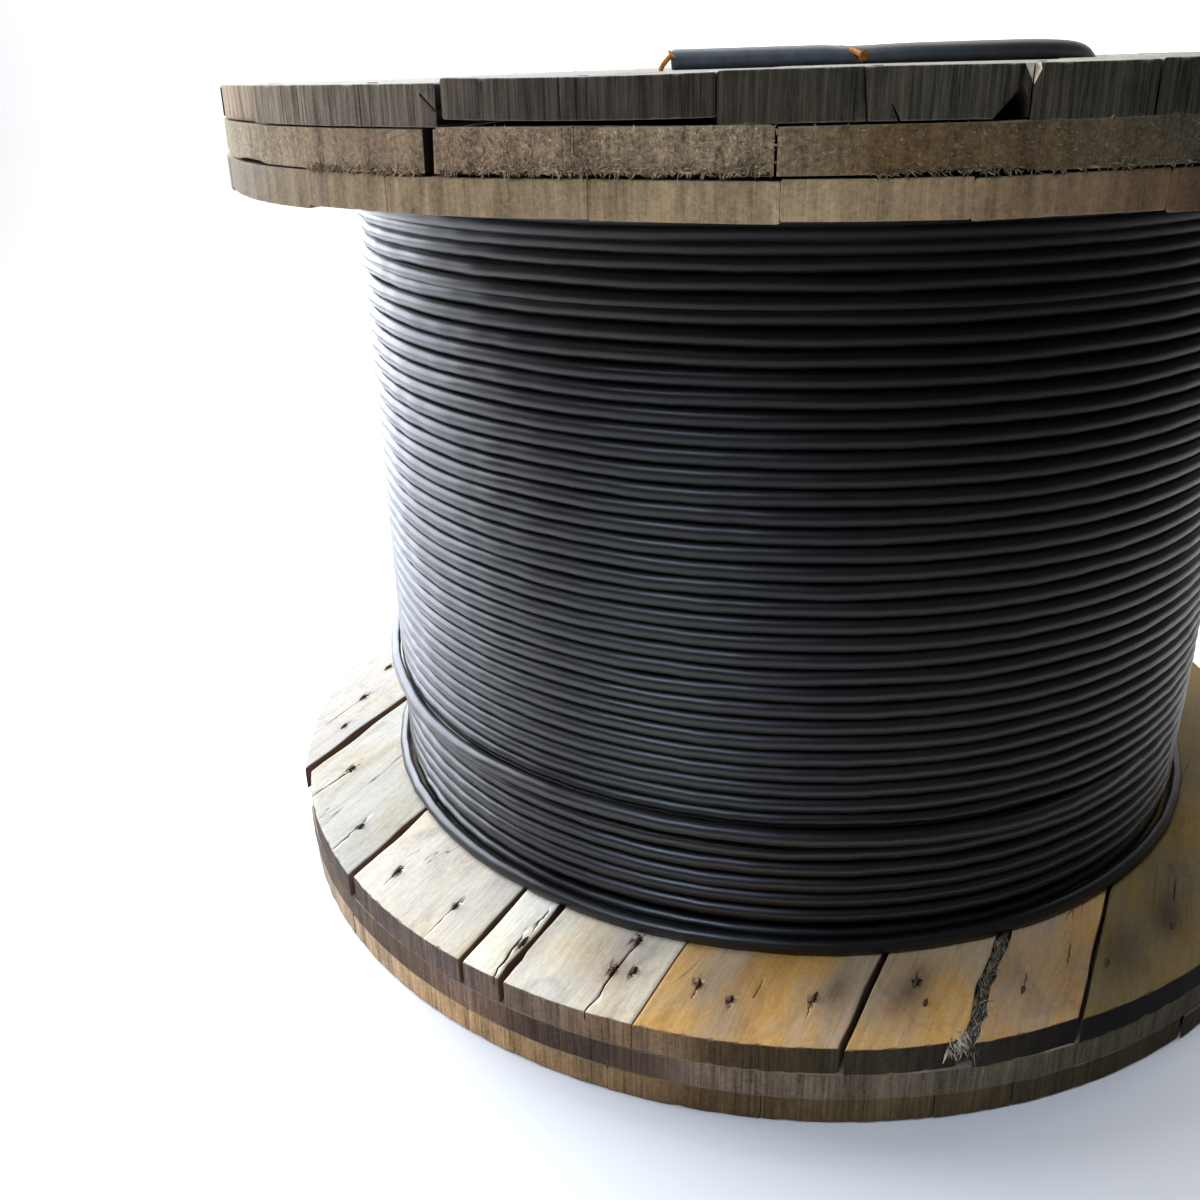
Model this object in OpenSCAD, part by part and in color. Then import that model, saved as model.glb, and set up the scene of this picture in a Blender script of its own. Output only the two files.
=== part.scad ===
// Wooden cable drum that stands on its lower flange, full of black cable.
// Millimetres. +Z runs along the drum's axis, and z = 0 is the face that it stands on.

/* [Flanges] */
// Outside diameter of both flanges
flange_d = 1250; // [1000:10:1600]
// Width of the drum over both flanges
drum_w = 890; // [700:10:1100]
// Thickness of one layer of boards; each flange has three
board_t = 30; // [22:1:40]
// Opening between neighbouring boards of a layer
joint_gap = 3; // [1:0.5:6]
// Depth of the offcut board at the rim of each crossed layer
offcut_w = 12; // [10:1:30]
// Least width of a board that is kept at the rim
least_board_w = 40; // [30:5:80]

/* [Spindle bushes] */
// Bore of the two steel bushes that a lifting spindle goes through
spindle_d = 80; // [50:1:110]
// Wall of a bush
bush_wall = 5; // [3:0.5:8]
// Diameter of the collar that is let into the flange's outer face
collar_d = 150; // [130:5:200]
// Thickness of the collar
collar_t = 5; // [3:0.5:8]

/* [Barrel] */
// Outside diameter of the barrel that the cable is wound on
barrel_d = 630; // [500:5:760]
// Thickness of a stave
stave_t = 25; // [18:1:32]
// Number of staves round the barrel
stave_n = 20; // [12:1:28]
// Opening between two staves, at the barrel's inside
stave_gap = 2; // [1:0.5:4]
// Thickness of the disc that the staves' ends are nailed to
disc_t = 30; // [20:1:45]

/* [Tie bolts] */
// Diameter of the bolts that pull the flanges together
bolt_d = 16; // [10:1:20]
// Number of bolts
bolt_n = 6; // [4:1:8]
// Distance from the staves' inside to a bolt's axis
bolt_inset = 40; // [32:1:60]
// Width across the flats of the bolt heads and nuts
nut_w = 24; // [20:1:30]
// Height of the bolt heads and nuts
nut_t = 13; // [8:1:16]
// Diameter of the washers
washer_d = 50; // [40:1:60]
// Thickness of the washers
washer_t = 4; // [2:0.5:5]

/* [Cable] */
// Outside diameter of the cable
cable_d = 16.9; // [10:0.1:30]
// Diameter over the outer layer of turns
wound_d = 984; // [800:2:1000]
// How far the two turns that lie against the flanges stand out of the layer
end_turn_rise = 14; // [0:1:17]
// Diameter of the slanting hole that the cable's inner end comes out through
tail_hole_d = 28; // [26:1:36]

/* [Nails] */
// Distance of the ring of nails from the rim
nail_inset = 50; // [30:1:80]
// Places for nails round the ring
nail_n = 36; // [12:1:48]
// Diameter of a nail's head
head_d = 9; // [6:0.5:12]
// Height of a nail's head over the wood
head_t = 1.2; // [0.5:0.1:2]
// Diameter of a nail's shank
shank_d = 4.5; // [3:0.1:6]
// Length of the nail point that is bent over on a flange's inner face
clench_l = 16; // [8:1:30]

/* [Hidden] */
// Smooth circles
$fn = 96;
// Sides of a hexagon head or nut
hex = 6;
// Length by which a cut runs past the face that it opens
past = 1;
// Clearance all round a piece that sits in or on another
fit = 0.3;
// Clearance all round a bolt in its hole
bolt_fit = 1;
// Clearance between a nut's bore and the bolt's thread
thread_fit = 0.1;
// Depth of a bolt head or nut under the flange's face
sunk = 3;
// Wall left round a washer in its recess
recess_fit = 4;
// Half the angle of each turn's section that shows between its neighbours
turn_arc = 60;
// Step between the points of that section
turn_step = 30;
// Extra radius of a nail at its bend
bend_swell = 0.2;
// Least distance of a nail from a joint
nail_clear = 9;

flange_t = 3 * board_t;
flange_r = flange_d / 2;
traverse = drum_w - 2 * flange_t;
top_face = drum_w - flange_t;
barrel_r = barrel_d / 2;
stave_inner_r = barrel_r - stave_t;
bolt_ring_r = stave_inner_r - bolt_inset;
recess_t = sunk + nut_t + washer_t;
spindle_r = spindle_d / 2;
bush_r = spindle_r + bush_wall;
collar_r = collar_d / 2;
turn_n = floor(traverse / cable_d);
turn_pitch = traverse / turn_n;
turn_r = cable_d / 2;
nail_ring_r = flange_r - nail_inset;

// Each layer: how far its boards are turned, and where its joints lie from the drum's axis.
// The joints past the rim are there for a larger flange.
lower_turn = -19;
upper_turn = -12.6;
// Turn of the first tie bolt, which keeps the bolts off the joints of the outer layers
bolt_turn = 41;
// Quarter turn between one layer and the next
crossed = 90;
lower_inner_joints = [-664, -476, -289, -103, -53, 87.5, 269.5, 370, 453, 645, 780];
lower_cross_joints = [-430, -246, -90, 95, 270, 450, 660, 780];
lower_outer_joints = [-650, -476, -298, -100, 62, 205, 347, 408, 540, 700];
upper_inner_joints = [-640, -455, -267, -175, -3, 127, 245, 363, 520, 700];
upper_cross_joints = [-440, -262, -75, 112, 300, 470, 660, 780];
upper_outer_joints = [-680, -500, -341, -118, 85, 273, 347, 505, 690];

// ---- Boards ----

// The joints of a layer that leave boards of a useful width at the rim
function kept_joints(joints) =
    [for (j = joints) if (abs(j) < flange_r - least_board_w) j];

// A crossed layer also has a thin offcut at the rim
function with_offcut(joints) = concat([-(flange_r - offcut_w)], kept_joints(joints));

// Both sides of each board, from the rim on one side to the rim on the other
function board_sides(joints) =
    let (edges = concat([-flange_r - joint_gap / 2], joints, [flange_r + joint_gap / 2]))
    [for (i = [0 : len(edges) - 2]) [edges[i] + joint_gap / 2, edges[i + 1] - joint_gap / 2]];

// One layer of boards sawn to a circle, its lower face at z
module boards(z, turn, joints) {
    for (side = board_sides(joints)) {
        translate([0, 0, z])
            intersection() {
                cylinder(r = flange_r, h = board_t);
                rotate([0, 0, turn])
                    translate([side[0], -flange_r, 0])
                        cube([side[1] - side[0], flange_d, board_t]);
            }
    }
}

// Places round the ring of tie bolts
module at_bolts() {
    for (i = [0 : bolt_n - 1])
        rotate([0, 0, bolt_turn + i * 360 / bolt_n])
            translate([bolt_ring_r, 0, 0])
                children();
}

// The holes that go through every layer, from z over h
module through_holes(z, h) {
    translate([0, 0, z - past])
        cylinder(r = bush_r + fit, h = h + 2 * past);
    at_bolts()
        translate([0, 0, z - past])
            cylinder(r = bolt_d / 2 + bolt_fit, h = h + 2 * past);
}

// The recesses in a flange's outer face, which lies at z = 0 with the wood above it
module face_recesses() {
    translate([0, 0, -past])
        cylinder(r = collar_r + fit, h = collar_t + past);
    at_bolts()
        translate([0, 0, -past])
            cylinder(r = washer_d / 2 + recess_fit, h = recess_t + past);
}

module lower_outer_boards() {
    color("#6f6152")
        difference() {
            boards(0, lower_turn, kept_joints(lower_outer_joints));
            through_holes(0, board_t);
            face_recesses();
        }
}

module lower_cross_boards() {
    color("#7a6a5c")
        difference() {
            boards(board_t, lower_turn + crossed, with_offcut(lower_cross_joints));
            through_holes(board_t, board_t);
        }
}

module lower_inner_boards() {
    color("#b8a58a")
        difference() {
            boards(2 * board_t, lower_turn, kept_joints(lower_inner_joints));
            through_holes(2 * board_t, board_t);
        }
}

module upper_inner_boards() {
    color("#8d7c62")
        difference() {
            boards(top_face, upper_turn, kept_joints(upper_inner_joints));
            through_holes(top_face, board_t);
            tail_hole();
        }
}

module upper_cross_boards() {
    color("#75675a")
        difference() {
            boards(top_face + board_t, upper_turn + crossed, with_offcut(upper_cross_joints));
            through_holes(top_face + board_t, board_t);
            tail_hole();
        }
}

module upper_outer_boards() {
    color("#5c544d")
        difference() {
            boards(top_face + 2 * board_t, upper_turn, kept_joints(upper_outer_joints));
            through_holes(top_face + 2 * board_t, board_t);
            translate([0, 0, drum_w])
                mirror([0, 0, 1])
                    face_recesses();
            tail_hole();
        }
}

// ---- Spindle bushes, barrel and tie bolts ----

// A bush through one flange, its collar's outer face at z = 0
module bush() {
    rotate_extrude()
        polygon([[spindle_r, 0], [collar_r, 0], [collar_r, collar_t], [bush_r, collar_t],
                 [bush_r, flange_t], [spindle_r, flange_t]]);
}

module lower_bush() {
    color("#4a4542")
        bush();
}

module upper_bush() {
    color("#4a4542")
        translate([0, 0, drum_w])
            mirror([0, 0, 1])
                bush();
}

module barrel_staves() {
    gap_angle = asin(stave_gap / stave_inner_r);
    color("#a08a68")
        for (i = [0 : stave_n - 1])
            rotate([0, 0, i * 360 / stave_n])
                translate([0, 0, flange_t])
                    rotate_extrude(angle = 360 / stave_n - gap_angle)
                        translate([stave_inner_r, 0])
                            square([stave_t, traverse]);
}

// A disc inside the staves, its lower face at z
module barrel_disc(z) {
    color("#a08a68")
        difference() {
            translate([0, 0, z])
                cylinder(r = stave_inner_r - fit, h = disc_t);
            through_holes(z, disc_t);
        }
}

module lower_barrel_disc() {
    barrel_disc(flange_t);
}

module upper_barrel_disc() {
    barrel_disc(top_face - disc_t);
}

module tie_bolts() {
    color("#5a4a40")
        at_bolts() {
            translate([0, 0, sunk])
                cylinder(d = nut_w / cos(180 / hex), h = nut_t, $fn = hex);
            translate([0, 0, sunk + nut_t])
                cylinder(d = bolt_d, h = drum_w - 2 * sunk - nut_t);
        }
}

module tie_bolt_nuts() {
    color("#5a4a40")
        at_bolts()
            translate([0, 0, drum_w - sunk - nut_t])
                difference() {
                    cylinder(d = nut_w / cos(180 / hex), h = nut_t, $fn = hex);
                    translate([0, 0, -past])
                        cylinder(r = bolt_d / 2 + thread_fit, h = nut_t + 2 * past);
                }
}

module tie_bolt_washers() {
    color("#5a4a40")
        at_bolts()
            for (z = [recess_t - washer_t, drum_w - recess_t])
                translate([0, 0, z])
                    difference() {
                        cylinder(d = washer_d, h = washer_t);
                        translate([0, 0, -past])
                            cylinder(r = bolt_d / 2 + fit, h = washer_t + 2 * past);
                    }
}

// ---- Cable ----

// How far turn i stands out of the layer: the first and the last lie on top of it
function rise(i) = (i == 0 || i == turn_n - 1) ? end_turn_rise : 0;

// The visible half of turn i
function turn_section(i) =
    [for (a = [-turn_arc : turn_step : turn_arc])
        [wound_d / 2 - turn_r + rise(i) + turn_r * cos(a),
         flange_t + (i + 0.5) * turn_pitch + turn_r * sin(a)]];

module wound_cable() {
    low = flange_t;
    high = top_face - fit;
    edge_r = wound_d / 2 - turn_r + end_turn_rise;
    color("#1c1c1f")
        rotate_extrude()
            polygon(concat([[barrel_r + fit, low], [edge_r, low]],
                           [for (i = [0 : turn_n - 1]) each turn_section(i)],
                           [[edge_r, high], [barrel_r + fit, high]]));
}

// Route of the cable's inner end, from the winding up through the flange and along its top.
// Heights are from the top of the flange to the cable's underside.
tail_foot = [302.5, -119, -board_t * 3];
tail_mouth = [262, -200, 0];
// Relief cut in front of the hole's mouth, where the cable bends down to the boards
tail_relief = [249, -224, -12];
tail_points = [[299, -126, -91], [290, -144, -71], [281, -162, -51], [272, -180, -31.5],
               [265, -194, -17.5], [258, -208, -7.5], [250, -224, -2], [240, -240, 0.1],
               [226, -256, 0.1], [208, -270, 0.1], [188, -280, 0.1], [164, -287, 0.1],
               [130, -291, 0.1], [98, -293, 0.1], [78, -293.5, 0.1], [58, -294, 0.1],
               [38, -294.5, 0.1], [18, -295, 0.1], [-15, -296, 0.1], [-50, -297, 0.1],
               [-85, -298, 0.1], [-112, -299, 0.1]];
tail_sides = 12;
// Height left of the cable where the nail presses it, as a share of its diameter, at that place
pressed = 0.7;
pressed_x = 58;
// Length to each side over which the cable comes back to its full height
pressed_l = 40;

// The slanting hole follows the cable through the three layers
module tail_hole() {
    run = tail_mouth - tail_foot;
    lean = acos(run[2] / norm(run));
    head = atan2(run[1], run[0]);
    translate([tail_mouth[0], tail_mouth[1], drum_w])
        rotate([0, 0, head])
            rotate([0, lean, 0])
                cylinder(d = tail_hole_d, h = 3 * norm(run), center = true);
    translate([tail_relief[0], tail_relief[1], drum_w + tail_relief[2]])
        cylinder(d = tail_hole_d, h = past - tail_relief[2]);
}

// Height of the cable at x, as a share of its diameter
function share(x) =
    1 - (1 - pressed) * max(0, 1 - abs(x - pressed_x) / pressed_l);

function tail_axis() =
    [for (p = tail_points) [p[0], p[1], drum_w + p[2] + turn_r * share(p[0])]];

// Direction of the route at point i
function heading(route, i) =
    let (a = route[max(i - 1, 0)], b = route[min(i + 1, len(route) - 1)])
    (b - a) / norm(b - a);

// Ring of points round the route at point i
function ring(route, i) =
    let (t = heading(route, i),
         side = cross(t, [0, 0, 1]) / norm(cross(t, [0, 0, 1])),
         up = cross(side, t))
    [for (k = [0 : tail_sides - 1])
        route[i] + turn_r * (cos(k * 360 / tail_sides) * side
                             + share(route[i][0]) * sin(k * 360 / tail_sides) * up)];

module cable_tail() {
    route = tail_axis();
    n = len(route);
    points = [for (i = [0 : n - 1]) each ring(route, i)];
    sides = [for (i = [0 : n - 2], k = [0 : tail_sides - 1])
        let (m = (k + 1) % tail_sides)
        [i * tail_sides + k, (i + 1) * tail_sides + k, (i + 1) * tail_sides + m, i * tail_sides + m]];
    first = [for (k = [0 : tail_sides - 1]) k];
    last = [for (k = [tail_sides - 1 : -1 : 0]) (n - 1) * tail_sides + k];
    color("#1c1c1f")
        polyhedron(points = points, faces = concat(sides, [first, last]));
}

// ---- Nails ----

// A nail driven in at foot, bent at knee, its head at tip
module bent_nail(foot, knee, tip) {
    shank_r = shank_d / 2;
    run = tip - knee;
    translate(foot)
        cylinder(r = shank_r, h = knee[2] - foot[2]);
    translate(knee)
        sphere(r = shank_r + bend_swell);
    translate(knee)
        rotate([0, 0, atan2(run[1], run[0])])
            rotate([0, acos(run[2] / norm(run)), 0]) {
                cylinder(r = shank_r, h = norm(run));
                translate([0, 0, norm(run)])
                    cylinder(d = head_d, h = head_t);
            }
}

// One nail is bent over the cable, and the other leans on its cut end
module tail_nails() {
    over = drum_w + cable_d * pressed + shank_d / 2 + past;
    end_x = tail_points[len(tail_points) - 1][0];
    color("#a0622c")
        union() {
            bent_nail([52, -280, drum_w], [52, -280, over], [62, -310, over - 2]);
            bent_nail([end_x - 14, -299, drum_w], [end_x - 14, -299, drum_w + 4],
                      [end_x - 8, -299, drum_w + 12]);
        }
}

// Distance from the joints of the layer that carries the nail
function clear_of(joints, turn, p) =
    min([for (j = joints) abs(p[0] * cos(turn) + p[1] * sin(turn) - j)]) > nail_clear;

function nail_places(joints, turn) =
    [for (i = [0 : nail_n - 1])
        let (a = (i + 0.5) * 360 / nail_n, p = [nail_ring_r * cos(a), nail_ring_r * sin(a)])
        if (clear_of(joints, turn, p)) p];

// A nail point bent over along the grain
module clenched(turn) {
    rotate([0, 0, turn])
        rotate([90, 0, 0])
            cylinder(d = shank_d, h = clench_l, center = true);
}

module upper_nail_heads() {
    color("#6b4a34")
        for (p = nail_places(upper_outer_joints, upper_turn))
            translate([p[0], p[1], drum_w])
                cylinder(d = head_d, h = head_t);
}

module upper_clenched_nails() {
    color("#6b4a34")
        for (p = nail_places(upper_inner_joints, upper_turn))
            translate([p[0], p[1], top_face - shank_d / 2])
                clenched(upper_turn);
}

module lower_clenched_nails() {
    color("#6b4a34")
        for (p = nail_places(lower_inner_joints, lower_turn))
            translate([p[0], p[1], flange_t + shank_d / 2])
                clenched(lower_turn);
}

lower_outer_boards();
lower_cross_boards();
lower_inner_boards();
upper_inner_boards();
upper_cross_boards();
upper_outer_boards();
lower_bush();
upper_bush();
barrel_staves();
lower_barrel_disc();
upper_barrel_disc();
tie_bolts();
tie_bolt_nuts();
tie_bolt_washers();
wound_cable();
cable_tail();
tail_nails();
upper_nail_heads();
upper_clenched_nails();
lower_clenched_nails();
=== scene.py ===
import bpy
import numpy as np
from mathutils import Matrix


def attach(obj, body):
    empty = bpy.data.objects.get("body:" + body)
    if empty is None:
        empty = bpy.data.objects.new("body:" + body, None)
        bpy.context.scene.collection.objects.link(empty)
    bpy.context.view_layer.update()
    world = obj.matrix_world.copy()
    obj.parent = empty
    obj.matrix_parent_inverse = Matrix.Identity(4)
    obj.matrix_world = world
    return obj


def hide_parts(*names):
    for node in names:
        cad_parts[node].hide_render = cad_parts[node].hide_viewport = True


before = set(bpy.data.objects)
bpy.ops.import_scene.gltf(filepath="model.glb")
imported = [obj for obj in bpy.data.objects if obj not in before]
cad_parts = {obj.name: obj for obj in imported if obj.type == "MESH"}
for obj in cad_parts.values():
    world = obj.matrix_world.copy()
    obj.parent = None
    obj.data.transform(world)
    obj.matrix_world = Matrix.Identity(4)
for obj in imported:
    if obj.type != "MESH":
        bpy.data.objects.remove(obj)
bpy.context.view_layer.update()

# Camera: a phone held 0.9 m up and 1.45 m from the drum's axis, looking slightly down and across it,
# so the upper flange is seen edge on and the lower one from above.
camera = bpy.data.objects.new("camera", bpy.data.cameras.new("camera"))
bpy.context.scene.collection.objects.link(camera)
camera.data.sensor_width = 36.0
camera.data.lens = 35.9
camera.data.clip_start = 0.05
camera.matrix_world = Matrix((
    (0.98826, -0.03913, 0.14766, 0.0),
    (0.15070, 0.40783, -0.90053, -1.4513),
    (-0.02498, 0.91222, 0.40894, 0.89825),
    (0.0, 0.0, 0.0, 1.0),
))
bpy.context.scene.camera = camera
bpy.context.scene.view_settings.view_transform = "Standard"


# Lower flange: three crossed layers of 30 mm softwood boards, sawn to a 1250 mm circle after they were
# nailed together. The inner layer shows its weathered faces round the cable, pale at the left and brown
# at the right, with open joints between the boards.
RIM_R = 0.625


def linear(code):
    """An sRGB hex code as linear red, green, blue."""
    value = np.array([int(code[i:i + 2], 16) for i in (1, 3, 5)]) / 255.0
    return np.where(value <= 0.04045, value / 12.92, ((value + 0.055) / 1.055) ** 2.4)


def wander(x, period, seed):
    """Six sines of random phase and length near `period`, summed: a smooth random line of height 1."""
    rng = np.random.default_rng(seed)
    rate = rng.uniform(0.5, 2.3, 6) / period
    phase = rng.uniform(0.0, 2.0 * np.pi, 6)
    return np.sin(2.0 * np.pi * np.multiply.outer(x, rate) + phase).sum(-1) / 2.6


def smooth(x, start, end):
    """0 at start, 1 at end, 3u^2 - 2u^3 between."""
    u = np.clip((x - start) / (end - start), 0.0, 1.0)
    return u * u * (3.0 - 2.0 * u)


def along(x, stops):
    """The colour at x, straight between stops of (x, hex)."""
    places = [stop[0] for stop in stops]
    colours = np.array([linear(stop[1]) for stop in stops])
    return np.stack([np.interp(x, places, colours[:, i]) for i in range(3)], -1)


def board(turn, left, right, z0, z1, face, rim, seed, step=0.005, rows=56, out=0.0, stains=(),
          joint="#8a6c55", worn=0.0):
    """One board of a flange layer, as a closed grid of rounded cross-sections carried along it.
    s runs across the layer, t along it, and the layer is turned by `turn` degrees:
    (x, y) = s (cos, sin) + t (-sin, cos). Each long edge is (place, gap at t < 0, gap at t > 0, roughness)
    in metres, and the ends lie on the rim, t = +-sqrt(R^2 - s^2). Towards an end the section
    shrinks to its middle line, which closes it. `face`, `rim` and `joint` are the colours of its faces, of
    its sawn ends and of the long edges down in the joints. The rim's colours by degrees round the drum hold
    painted shade besides the wood's streaks. The default joint brown is lightened: it is painted light that
    stands in for light reaching down into the gaps. `stains` are (x, y, radius, colour, depth).
    `worn` is how far the rim is worn back at the left, in metres."""
    radius = RIM_R + out
    a0 = np.arcsin(np.clip(left[0] / radius, -0.99995, 0.99995))
    a1 = np.arcsin(np.clip(right[0] / radius, -0.99995, 0.99995))
    count = max(4, int(np.ceil(radius * (a1 - a0) / step)))
    inner = radius * np.sin(np.linspace(a0, a1, count + 1))
    half = (z1 - z0) / 2.0
    one, two = (0.0003 if abs(spec[0]) > 0.6 else 0.0015 for spec in (left, right))
    s = np.concatenate(([inner[0]] * 2, [inner[0] + 0.3 * one, inner[0] + one], inner[1:-1],
                        [inner[-1] - two, inner[-1] - 0.3 * two], [inner[-1]] * 2))
    h = np.concatenate(([0.0, half - one, half - 0.3 * one], [half] * (count + 1),
                        [half - 0.3 * two, half - two, 0.0]))
    chip = 0.0008 + 0.0014 * np.clip(wander(s, 0.03, seed + 1), 0.0, 1.4) ** 2
    reach = np.sqrt(np.maximum(radius ** 2 - s ** 2, 1e-6)) + 0.0003 * wander(s, 0.045, seed + 2)
    ring_f = np.array([0.0, 0.34, 0.68, 1.0, 1.0, 1.0])
    ring_cut = np.array([1.0, 1.0, 1.0, 1.0, 0.3, 0.0])
    ring_t = np.array([0.0, 0.0, 0.0, 0.0, 0.3, 1.0])
    cap_h = ring_f[:, None] * (half - ring_cut[:, None] * chip[None]) * h[None] / half
    cap_t = reach[None] - ring_t[:, None] * chip[None]
    v = np.sin(np.linspace(-1.0, 1.0, rows) * 1.25) / np.sin(1.25)
    body_t = v[1:-1, None] * (reach - chip)[None]
    body_h = np.broadcast_to(h[None], body_t.shape)
    t = np.concatenate((-cap_t, body_t, cap_t[::-1]))
    high = np.concatenate((cap_h, body_h, cap_h[::-1]))
    cap_rim = np.array([1.0, 1.0, 1.0, 1.0, 0.75, 0.0])
    on_rim = np.concatenate((cap_rim, np.zeros(rows - 2), cap_rim[::-1]))
    s = np.broadcast_to(s[None], t.shape)

    def edge(spec, sign, key):
        place, front, back, rough = spec
        gap = front + (back - front) * smooth(t, -0.6, 0.6)
        gap = gap / 2.0 * (1.0 + 0.3 * wander(t, 0.21, key))
        splinters = np.clip(wander(t, 0.018, key + 1), 0.0, 1.0) * (0.5 + 0.5 * wander(t, 0.09, key + 2))
        return sign * np.maximum(gap + rough * splinters, 0.0)

    share = (s - s.min()) / (s.max() - s.min())
    s = s + edge(left, 1.0, seed + 3) * (1.0 - share) ** 3 + edge(right, -1.0, seed + 6) * share ** 3
    rng = np.random.default_rng(seed + 9)
    tilt, cup = rng.normal(0.0, 0.0004, 2)
    warp = tilt * (2.0 * share - 1.0) + cup * (2.0 * share - 1.0) ** 2 + 0.0003 * wander(t, 0.3, seed + 10)
    top = np.stack((s, t, (z0 + z1) / 2.0 + high + warp), -1)
    low = np.stack((s, t, (z0 + z1) / 2.0 - high + warp), -1)[:, -2:0:-1]
    grid = np.concatenate((top, low), 1)
    n, m = grid.shape[:2]
    index = np.arange(n * m).reshape(n, m)
    index[[0, -1], top.shape[1]:] = index[[0, -1], 1:top.shape[1] - 1][:, ::-1]
    beside = np.roll(index, -1, 1)
    quads = np.stack((index[:-1], beside[:-1], beside[1:], index[1:]), -1).reshape(-1, 4)
    local = grid.reshape(-1, 3)
    c, d = np.cos(np.radians(turn)), np.sin(np.radians(turn))
    x, y = local[:, 0] * c - local[:, 1] * d, local[:, 0] * d + local[:, 1] * c
    left_side = np.degrees(np.arctan2(x, -y))
    less = worn * smooth(left_side, -38.0, -66.0) * smooth(left_side, -125.0, -90.0)
    less = less * smooth(np.hypot(x, y), 0.5, 0.62)
    x, y = x * (1.0 - less / RIM_R), y * (1.0 - less / RIM_R)
    points = np.stack((x, y, local[:, 2]), -1)
    on_rim = np.repeat(on_rim[:, None], m, 1)
    width = top.shape[1]
    sides = np.zeros(m)
    sides[[0, 1, width - 2, width - 1, width, m - 1]] = 1.0
    if abs(left[0]) > radius * 0.999:
        on_rim[:, [0, 1, m - 1]] = 1.0
        sides[[0, 1, m - 1]] = 0.0
    if abs(right[0]) > radius * 0.999:
        on_rim[:, [width - 2, width - 1, width]] = 1.0
        sides[[width - 2, width - 1, width]] = 0.0
    on_rim = on_rim.ravel()
    around = np.degrees(np.arctan2(x, -y))
    tint = linear(face)[None] * (1.0 - on_rim[:, None]) + along(around, rim) * on_rim[:, None]
    # The long edges down in the joints take the joint colour. The lower flange's default brown is lightened:
    # it is painted light that stands in for light reaching down into the gaps.
    hidden = (np.tile(sides, n) * (1.0 - on_rim))[:, None]
    tint = tint * (1.0 - hidden) + linear(joint)[None] * hidden
    for stain_x, stain_y, stain_r, stain_code, depth in stains:
        off_x, off_y = x - stain_x, y - stain_y
        across, ahead = off_x * c + off_y * d, off_y * c - off_x * d
        near = depth * np.exp(-(across / stain_r) ** 2 - (ahead / stain_r / 2.2) ** 2) * (1.0 - on_rim)
        tint = tint * (1.0 - near[:, None]) + linear(stain_code)[None] * near[:, None]
    return {"points": points, "faces": quads, "tint": tint, "rim": on_rim,
            "grain": local + rng.uniform(-9.0, 9.0, 3)}


def mesh_piece(name, parts, material, smooth_shade=True):
    """One object from closed grids: {points, faces, and what is kept as attributes}. A face with the same
    corner twice, where a grid closes to a point, loses one of the two."""
    start = np.cumsum([0] + [len(part["points"]) for part in parts])
    points = np.concatenate([part["points"] for part in parts])
    faces = np.concatenate([part["faces"] + start[i] for i, part in enumerate(parts)])
    used, place = np.unique(faces, return_inverse=True)
    faces, points = place.reshape(faces.shape), points[used]
    keep = faces != np.roll(faces, 1, 1)
    corners, sizes = faces[keep], keep.sum(1)
    mesh = bpy.data.meshes.new(name)
    mesh.vertices.add(len(points))
    mesh.vertices.foreach_set("co", points.astype(np.float32).ravel())
    mesh.loops.add(len(corners))
    mesh.loops.foreach_set("vertex_index", corners.astype(np.int32))
    mesh.polygons.add(len(sizes))
    mesh.polygons.foreach_set("loop_start", (np.cumsum(sizes) - sizes).astype(np.int32))
    mesh.update(calc_edges=True)
    for key in ("rim", "grain", "tint"):
        if key in parts[0]:
            data = np.concatenate([part[key] for part in parts])[used][corners]
            kind = {"rim": "FLOAT", "grain": "FLOAT_VECTOR", "tint": "FLOAT_COLOR"}[key]
            if key == "tint":
                data = np.concatenate((data, np.ones((len(data), 1))), 1)
            field = {"rim": "value", "grain": "vector", "tint": "color"}[key]
            mesh.attributes.new(key, kind, "CORNER").data.foreach_set(field, data.astype(np.float32).ravel())
    mesh.polygons.foreach_set("use_smooth", [smooth_shade] * len(faces))
    mesh.materials.append(material)
    obj = bpy.data.objects.new(name, mesh)
    bpy.context.scene.collection.objects.link(obj)
    return obj


def add(tree, kind, links, **settings):
    """One shader node: `settings` are its own, `links` maps an input to a value or to an output."""
    new = tree.nodes.new("ShaderNode" + kind)
    for key, value in settings.items():
        setattr(new, key, value)
    for key, value in links.items():
        if isinstance(value, bpy.types.NodeSocket):
            tree.links.new(value, new.inputs[key])
        else:
            new.inputs[key].default_value = value
    return new


def new_material(name):
    """A material, its node tree, its Principled shader and the piece's Object coordinates in metres."""
    material = bpy.data.materials.new(name)
    material.use_nodes = True
    tree = material.node_tree
    return material, tree, tree.nodes["Principled BSDF"], add(tree, "TexCoord", {}).outputs["Object"]


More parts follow.
